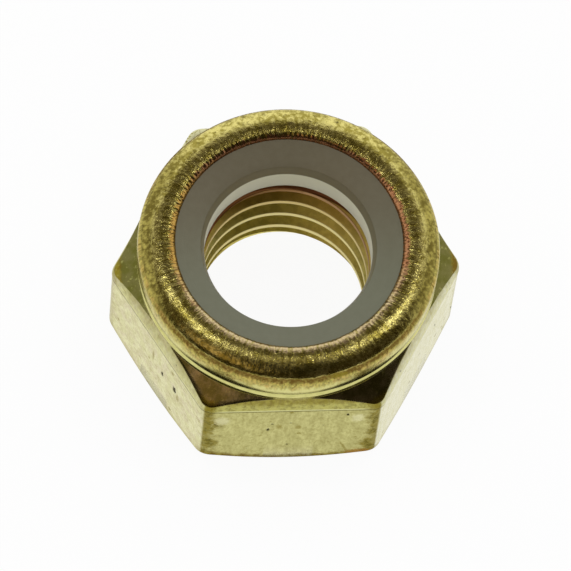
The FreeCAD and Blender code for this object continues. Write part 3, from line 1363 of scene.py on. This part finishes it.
    def shoulder_colour(self, p: Painter) -> Socket:
        """Grey brown in front, green at the sides, mustard towards its edge, and pale cream behind.

        Args:
            p: the painter of the material.

        Returns:
            The colour.
        """
        g = p.graph
        centre = g.mix(p.mottle(0.9, 9.0, 0.36, 0.64), self.shoulder_grey, self.shoulder_green)
        outward = g.total(p.radius, g.product(p.cloud(0.3, 10.0), 0.5))
        tip = g.mix(p.mottle(0.4, 11.0, 0.42, 0.6), self.mustard, self.brown)
        speckled = g.mix(p.mottle(0.3, 41.0, 0.5, 0.62), self.worn, self.front_olive)
        return g.coats(
            centre,
            (self.side_green, g.step(p.y, -7.5, -4.5), 0.7),
            (tip, g.step(outward, 10.4, 10.75), 0.9),
            (self.olive_cream, p.mottle(0.25, 37.0, 0.58, 0.7), 0.4),
            (speckled, self.at_back(p), 0.85),
        )

    def wall_colour(self, p: Painter, collar: Collar) -> Socket:
        """Pale mottled wall, gold and speckled with brown towards its upper edge, with painted shade in
        brown along that edge in front and behind, and painted shade in the groove.

        Args:
            p: the painter of the material.
            collar: the sizes of the collar.

        Returns:
            The colour.
        """
        g = p.graph
        wander = g.swing(p.strokes(0.3, 0.9, 12.0), 2.2)
        high = g.total(p.height, wander)
        fine = p.stroke_mask(0.12, 0.35, 14.0, 0.42, 0.62)
        speckles = p.stroke_mask(0.13, 0.3, 42.0, 0.54, 0.64)
        gold = g.mix(p.mottle(0.8, 13.0, 0.45, 0.62), self.wall_gold, self.wall_orange)
        # Painted shade: the rounded top edge is brown where it turns from the bright walls to the dark
        # ceiling.
        edge = g.step(g.total(p.height, g.product(wander, 0.35)), *self.brown_border)
        broken = g.blend(p.mottle(0.14, 47.0, 0.36, 0.56), 0.45, 0.95)
        groove = g.between(p.height, collar.groove_low + 0.03, collar.wall_low - 0.05, 0.03)
        foot = g.step(p.height, collar.bead_low + 0.14, collar.bead_low + 0.02)
        return g.coats(
            self.wall_pale,
            (self.olive_cream, p.mottle(0.5, 15.0, 0.4, 0.7), 0.6),
            (gold, g.step(high, 10.2, 11.1), 0.75),
            (self.front_olive, fine, g.step(high, 10.0, 11.2), 0.8),
            (self.brown, speckles, g.step(high, 10.5, 11.1), 0.7),
            # Painted shade in brown on the top edge, in front and behind only.
            (self.rim_shade_brown, edge, g.step(g.math("ABSOLUTE", p.y), 2.0, 6.5), broken),
            (self.band_gold, foot, 0.6),
            # Painted shade in the groove.
            (self.crease_shade, groove, 0.8),
        )

    def crown_mask(self, p: Painter) -> Socket:
        """1 on the crown, with a ragged border in the rounded edge."""
        ragged = p.graph.total(p.height, p.graph.swing(p.cloud(0.25, 16.0), 0.25))
        return p.graph.step(ragged, *self.crown_border)

    def crown_colour(self, p: Painter) -> Socket:
        """Gold and olive strokes that point at the axis near the lip, and clouds further out, with
        painted shade on the outer crown at the sides and in front, and on the inner crown behind.

        Args:
            p: the painter of the material.

        Returns:
            The colour.
        """
        g = p.graph
        strokes, short = p.strokes(0.15, 2.4, 17.0), p.strokes(0.2, 0.7, 43.0)
        inner, outer = g.step(p.radius, *self.inner_crown), g.step(p.radius, *self.outer_crown)
        clouds = g.blend(0.45, p.cloud(0.26, 18.0), p.cloud(0.9, 48.0))
        patches = g.blend(g.product(inner, 0.5), clouds, short)
        dark = g.step(g.blend(inner, p.cloud(0.26, 19.0), short), 0.53, 0.66)
        crown_side_shade = g.step(g.math("ABSOLUTE", p.y), 7.5, 4.0)
        lip_edge = g.total(p.radius, g.swing(strokes, 0.9), g.product(p.y, 0.027))
        return g.coats(
            g.mix(g.step(patches, 0.43, 0.57), self.crown_olive, self.crown_gold),
            # Painted shade: the outer crown darker and mottled at the sides and darker in front, where it
            # mirrors the dark ceiling.
            (g.mix(g.step(clouds, 0.42, 0.62), self.crown_dark, self.crown_olive), outer, crown_side_shade, 0.85),
            (self.crown_dark, outer, g.step(p.y, -2.0, -5.0), 0.35),
            (self.crown_dark, dark, 0.55),
            (self.crown_dark, g.step(strokes, 0.48, 0.62), g.step(p.radius, 8.2, 7.5), 0.55),
            # Painted shade that dims the inner crown behind.
            (self.crown_dark, g.step(p.radius, 7.8, 7.5), g.step(p.y, 3.0, 6.5), 0.5),
            (self.lip_colour(p, strokes), g.step(lip_edge, *self.lip_border), 0.9),
        )

    def lip_colour(self, p: Painter, strokes: Socket) -> Socket:
        """Gold on the left, copper on the right, painted shade in dark red behind and a frayed painted
        reflection in pinkish beige in front.

        Args:
            p: the painter of the material.
            strokes: value of the long strokes on the crown.

        Returns:
            The colour.
        """
        g = p.graph
        wander = g.swing(p.cloud(1.2, 20.0), 7.0)
        to_right, to_back = g.total(p.x, wander), g.total(p.y, wander)
        fray = g.product(p.stroke_mask(0.12, 0.5, 44.0, 0.48, 0.62), 0.7)
        return g.coats(
            self.lip_copper,
            (self.lip_gold, g.step(to_right, -3.0, -6.5)),
            # Painted shade behind in dark red, and a painted reflection of the bright back in pinkish
            # beige in front.
            (self.lip_shade_red, g.step(to_back, 3.2, 6.0)),
            (g.mix(fray, self.lip_reflection_pink, self.crown_olive), g.step(to_back, -1.0, -4.5)),
            (self.lip_dark, g.step(strokes, 0.52, 0.62), g.step(p.y, -6.5, -3.5), 0.8),
        )

    def thread_colour(self, p: Painter, body: NutBody) -> Socket:
        """Pale crests, flanks that are darker near the top, a copper seat under the ring, and painted
        shadow in a dark line at the seat's foot.

        Args:
            p: the painter of the material.
            body: the body, for the places of the thread and its seat.

        Returns:
            The colour.
        """
        g = p.graph
        minor = body.thread.minor_radius
        crest = g.step(p.radius, minor + 0.05, minor + 0.03)
        seat_foot = body.pocket_floor - body.thread.seat_width / THREAD_SLOPE
        return g.coats(
            g.mix(g.step(p.height, 5.6, 7.4), self.flank, self.flank_dark),
            (self.mustard, p.mottle(0.6, 24.0), 0.25),
            (self.crest, crest),
            (self.lip_gold, g.step(p.height, 5.0, 7.0), crest, 0.4),
            (self.seat_copper, g.step(p.height, 7.6, 8.0), crest, 0.8),
            (self.seat_copper, g.step(p.height, seat_foot - 0.04, seat_foot + 0.01)),
            # Painted shadow in a dark line at the seat's foot, under the nylon ring.
            (self.lip_dark, g.between(p.height, seat_foot - 0.03, seat_foot + 0.04, 0.03), 0.9),
        )

    def relief(self, p: Painter, crown: Socket, in_bore: Socket, pits: Socket) -> Socket:
        """Height of the fine relief in millimetres.

        A fine grain and soft waves lie on the flats and the wall, small dents and strokes that point
        at the axis on the crown, deeper pleats on the lip, and pits where the marks are.

        Args:
            p: the painter of the material.
            crown: mask of the crown.
            in_bore: mask of the threaded bore.
            pits: mask of the pits.

        Returns:
            The height.
        """
        g = p.graph
        plain = g.total(g.product(p.cloud(0.09, 25.0), 0.003), g.product(p.cloud(0.9, 26.0), 0.02))
        dents = g.total(
            g.product(p.strokes(0.16, 0.6, 27.0), 0.01),
            g.product(p.cloud(0.13, 45.0), 0.01),
            g.product(p.cloud(0.3, 28.0), 0.026),
        )
        pleats = g.product(p.strokes(0.14, 3.0, 29.0), g.step(p.radius, *self.pleat_border), 0.03)
        height = g.blend(crown, plain, g.total(dents, pleats))
        height = g.blend(in_bore, height, g.product(p.cloud(0.12, 30.0), 0.002))
        return g.math("SUBTRACT", height, g.product(pits, 0.03))


@dataclass(frozen=True)
class GreyNylon:
    """Natural nylon, smooth and slightly cloudy, with faint turned rings and painted light and shade."""

    name: str = "grey_nylon"
    roughness: float = 0.42
    top: Colour = (100, 101, 79)
    # Painted shade and a painted reflection of the lip, for the far side of the top.
    far_side_shade: Colour = (93, 84, 60)
    # Painted light: the bevel a little lighter than the top, which lifts the shade that its tilt gives
    # it.
    bevel: Colour = (116, 108, 86)
    # Painted light: the bore wall much lighter, as if lit from below.
    bore: Colour = (214, 212, 186)
    speck: Colour = (58, 52, 36)

    def material(self, ring: NylonRing, effects: SharedEffects) -> bpy.types.Material:
        """Makes the nylon's material.

        Args:
            ring: the ring that wears it, for the place of its bore.
            effects: the shared node groups.

        Returns:
            The material.
        """
        p = Painter(self.name, effects)
        g = p.graph
        crease = ring.bore + ring.bevel_width
        in_bore = g.step(p.radius, ring.bore + 0.03, ring.bore + 0.01)
        colour = g.coats(
            self.top,
            # Painted shade and lip reflection on the far side.
            (self.far_side_shade, g.step(p.y, -4.0, 5.0)),
            # Painted light on the bevel.
            (self.bevel, g.step(p.radius, crease + 0.06, crease - 0.1), 0.5),
            # Painted light on the bore wall.
            (self.bore, in_bore, g.step(p.height, ring.bevel_foot + 0.06, ring.bevel_foot)),
            (self.bore, p.cloud(0.5, 31.0), 0.05),
            (self.speck, p.specks(1.9, 0.04), 0.6),
        )
        g.feed(p.shader.inputs["Base Color"], colour)
        rough = g.blend(p.cloud(0.7, 32.0), self.roughness - 0.08, self.roughness + 0.1)
        g.feed(p.shader.inputs["Roughness"], rough)
        rings = g.noise(g.join(g.product(p.radius, 9.0), g.product(p.height, 5.0), 0.0), 33.0, 2.0, 0.5)
        p.bump(g.total(g.product(rings, 0.006), g.product(p.cloud(0.2, 34.0), 0.004)))
        return p.material


@dataclass(frozen=True)
class Studio:
    """A white table under soft light, with a dark ceiling that only glossy surfaces mirror.

    The walls are bright from the table up to a height that differs from side to side. Heights are
    sines of the elevation, first where the wall starts to fade and then where it is dark. A faint
    panel hangs overhead, a warm one stands on the left, and the lens leaves a faint shade.
    """

    floor_size: float = 6.0
    floor_glow: float = 0.93
    table_white: Colour = (243, 243, 243)
    matt_level: float = 0.88
    ceiling: float = 0.1
    lens_shade: float = 0.07
    lens_reach: Span = (0.45, 0.25)
    panel: float = 0.3
    warm_corner: float = 1.35
    side_turn: Span = (-0.45, 0.15)
    back_turn: Span = (0.1, 0.7)
    front_fade: Span = (0.02, 0.2)
    side_fade: Span = (0.62, 0.92)
    back_fade: Span = (0.56, 0.88)
    fade_brown: Colour = (185, 160, 115)
    corner_brown: Colour = (216, 180, 140)
    lamp_distance: float = 0.3
    lamp_width: float = 0.01
    lamp_length: float = 0.07

    def light_world(self) -> None:
        """Lights the world: plain white to the camera and to matt surfaces, graded to glossy ones."""
        world = bpy.data.worlds.new("studio")
        bpy.context.scene.world = world
        world.use_nodes = True
        g = Graph(world.node_tree)
        background = world.node_tree.nodes["Background"]
        x, y, z = g.apart(g.node("ShaderNodeTexCoord").outputs["Generated"])
        flat = g.math("SQRT", g.total(g.product(x, x), g.product(y, y), 0.0001))
        facing = g.math("DIVIDE", y, flat)
        to_side, to_back = g.step(facing, *self.side_turn), g.step(facing, *self.back_turn)
        start, end = (
            g.blend(to_back, g.blend(to_side, front, side), back)
            for front, side, back in zip(self.front_fade, self.side_fade, self.back_fade)
        )
        walls = g.step(z, end, start)
        over_y = g.product(g.step(y, -0.12, 0.0), g.step(y, 0.36, 0.22))
        over_x = g.product(g.step(x, -0.5, -0.25), g.step(x, 0.55, 0.3))
        panel = g.product(over_x, over_y, self.panel)
        to_left = g.product(g.step(x, -0.15, -0.4), g.step(y, -0.05, -0.35), g.step(z, 0.64, 0.76))
        from_lens = g.vector("LENGTH", g.vector("SUBTRACT", g.join(x, y, z), LENS_WAY))
        shade = g.product(g.step(from_lens, *self.lens_reach), -self.lens_shade)
        level = g.total(walls, panel, g.product(to_left, self.warm_corner), shade, self.ceiling)
        path = g.node("ShaderNodeLightPath")
        seen, glossy = path.outputs["Is Camera Ray"], path.outputs["Is Glossy Ray"]
        matt = g.math("SUBTRACT", 1.0, g.math("ADD", seen, glossy, clamp=True))
        strength = g.total(g.product(glossy, level), seen, g.product(matt, self.matt_level))
        tint = g.coats(
            (255, 255, 255),
            (self.fade_brown, g.step(level, 0.9, 0.2), glossy),
            (self.corner_brown, to_left, glossy),
        )
        g.feed(background.inputs["Color"], tint)
        g.feed(background.inputs["Strength"], strength)

    def lay_floor(self) -> None:
        """Lays the table top, white to the camera and to glossy surfaces, with a faint shadow."""
        half = self.floor_size / 2
        mesh = bpy.data.meshes.new("table_top")
        corners = [(-half, -half, 0), (half, -half, 0), (half, half, 0), (-half, half, 0)]
        mesh.from_pydata(corners, [], [(0, 1, 2, 3)])
        floor = bpy.data.objects.new("table_top", mesh)
        bpy.context.scene.collection.objects.link(floor)
        material = bpy.data.materials.new("white_table")
        material.use_nodes = True
        g = Graph(material.node_tree)
        shader = material.node_tree.nodes["Principled BSDF"]
        g.feed(shader.inputs["Base Color"], self.table_white)
        shader.inputs["Roughness"].default_value = 0.9
        shader.inputs["Specular IOR Level"].default_value = 0.0
        path = g.node("ShaderNodeLightPath")
        seen = g.math("ADD", path.outputs["Is Camera Ray"], path.outputs["Is Glossy Ray"], clamp=True)
        blend = g.node("ShaderNodeMixShader")
        g.feed(blend.inputs["Fac"], g.product(seen, self.floor_glow))
        g.feed(blend.inputs[1], shader.outputs[0])
        g.feed(blend.inputs[2], g.node("ShaderNodeEmission").outputs[0])
        g.feed(material.node_tree.nodes["Material Output"].inputs["Surface"], blend.outputs[0])
        mesh.materials.append(material)

    def hang_lamp(self, name: str, towards: Place, turn: float, power: float) -> None:
        """Hangs a strip lamp over the table, facing the nut.

        Args:
            name: the lamp's name.
            towards: direction of the lamp from the nut.
            turn: how far the strip is turned about that direction, in degrees.
            power: the lamp's power in watts.
        """
        data = bpy.data.lights.new(name, "AREA")
        data.shape = "RECTANGLE"
        data.size = self.lamp_width
        data.size_y = self.lamp_length
        data.energy = power
        lamp = bpy.data.objects.new(name, data)
        way = Vector(towards).normalized()
        lamp.location = way * self.lamp_distance
        turned = Matrix.Rotation(math.radians(turn), 3, "Z").to_quaternion()
        lamp.rotation_mode = "QUATERNION"
        lamp.rotation_quaternion = way.to_track_quat("Z", "Y") @ turned
        bpy.context.scene.collection.objects.link(lamp)


def known_marks(flat: float) -> list[Mark]:
    """The pits, stains and worn spots that the nut shows, each where it lies on the plating.

    Args:
        flat: distance of the flats from the axis, in millimetres.

    Returns:
        The marks, in the order in which they are laid.
    """
    return [
        Mark(Tone.PIT, (-7.11, -6.68, 4.77), (0.19, 0.19, 0.42)),
        Mark(Tone.PIT, (-7.81, -5.48, 4.54), (0.12, 0.12, 0.3)),
        Mark(Tone.BLOTCH, (-6.9, -7.0, 4.2), (0.16, 0.16, 0.5)),
        Mark(Tone.BLOTCH, (-8.35, -4.55, 5.3), (0.12, 0.12, 0.7)),
        Mark(Tone.PIT, (-8.57, -4.15, 8.62), (0.09, 0.09, 0.12)),
        Mark(Tone.PIT, (3.44, -flat, 6.82), (0.09, 0.1, 0.16)),
        Mark(Tone.PIT, (-1.4, -flat, 4.74), (0.1, 0.12, 0.22)),
        Mark(Tone.BLOTCH, (-0.74, -flat, 5.17), (0.2, 0.1, 0.4)),
        Mark(Tone.BLOTCH, (0.45, -flat, 5.0), (0.22, 0.1, 0.3)),
        Mark(Tone.BLOTCH, (3.45, -flat, 1.85), (0.1, 0.1, 0.9), (0, -18, 0)),
        Mark(Tone.STAIN, (4.5, -flat, 0.9), (0.9, 0.3, 0.5)),
        Mark(Tone.WORN, (-4.3, -flat, 6.2), (0.5, 0.2, 0.6)),
        Mark(Tone.WORN, (4.1, -flat, 6.3), (0.4, 0.2, 0.6)),
        Mark(Tone.PIT, (10.67, -0.52, 2.73), (0.08, 0.08, 0.2)),
        Mark(Tone.PIT, (9.34, -2.82, 5.18), (0.07, 0.07, 0.2)),
        Mark(Tone.PIT, (8.43, -4.4, 8.61), (0.08, 0.2, 0.06), (0, 0, 30)),
        Mark(Tone.BLOTCH, (2.66, -8.8, 11.5), (0.6, 0.22, 0.2), (0, 0, 17)),
    ]


def dress(piece: bpy.types.Object, material: bpy.types.Material) -> None:
    """Gives a piece its material and reports its triangles."""
    piece.data.materials.clear()
    piece.data.materials.append(material)
    triangles = sum(len(face.vertices) - 2 for face in piece.data.polygons)
    LOG.info("%s in %s: %d triangles", piece.name, material.name, triangles)


def build_nut() -> None:
    """Builds the body and the ring from the frame's sizes, and dresses them."""
    body_low, body_high = millimetres("nut_body")
    ring_low, ring_high = millimetres("nylon_insert")
    thread = Thread(minor_radius=mount_size("thread", "r_mm"))
    collar = Collar(radius=ring_high.x + INSERT_CLEARANCE + Collar.wall, top=body_high.z)
    hexagon = Hexagon((body_high.y - body_low.y) / 2, collar.radius - collar.relief)
    body = NutBody(hexagon, collar, thread, pocket_floor=ring_low.z)
    ring = NylonRing(mount_size("insert_bore", "r_mm"), ring_high.x, ring_low.z, ring_high.z)
    effects = SharedEffects.make()
    marks = known_marks(hexagon.flat_distance)
    dress(body.build(), YellowZinc().material(body, effects, marks))
    dress(ring.build(), GreyNylon().material(ring, effects))


def set_studio() -> None:
    """Sets the light, the table, the lamps and the camera."""
    studio = Studio()
    studio.light_world()
    studio.lay_floor()
    studio.hang_lamp("left_strip", (-0.25, 0.15, 0.957), 35, 0.035)
    studio.hang_lamp("right_strip", (0.355, 0.13, 0.926), -42, 0.039)
    PhotoCamera().place()


def main() -> None:
    """Builds the nut and sets the studio."""
    logging.basicConfig(level=logging.INFO, format="%(name)s: %(message)s")
    bpy.context.scene.view_settings.view_transform = "Standard"
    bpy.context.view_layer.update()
    build_nut()
    set_studio()


if __name__ == "__main__":
    main()
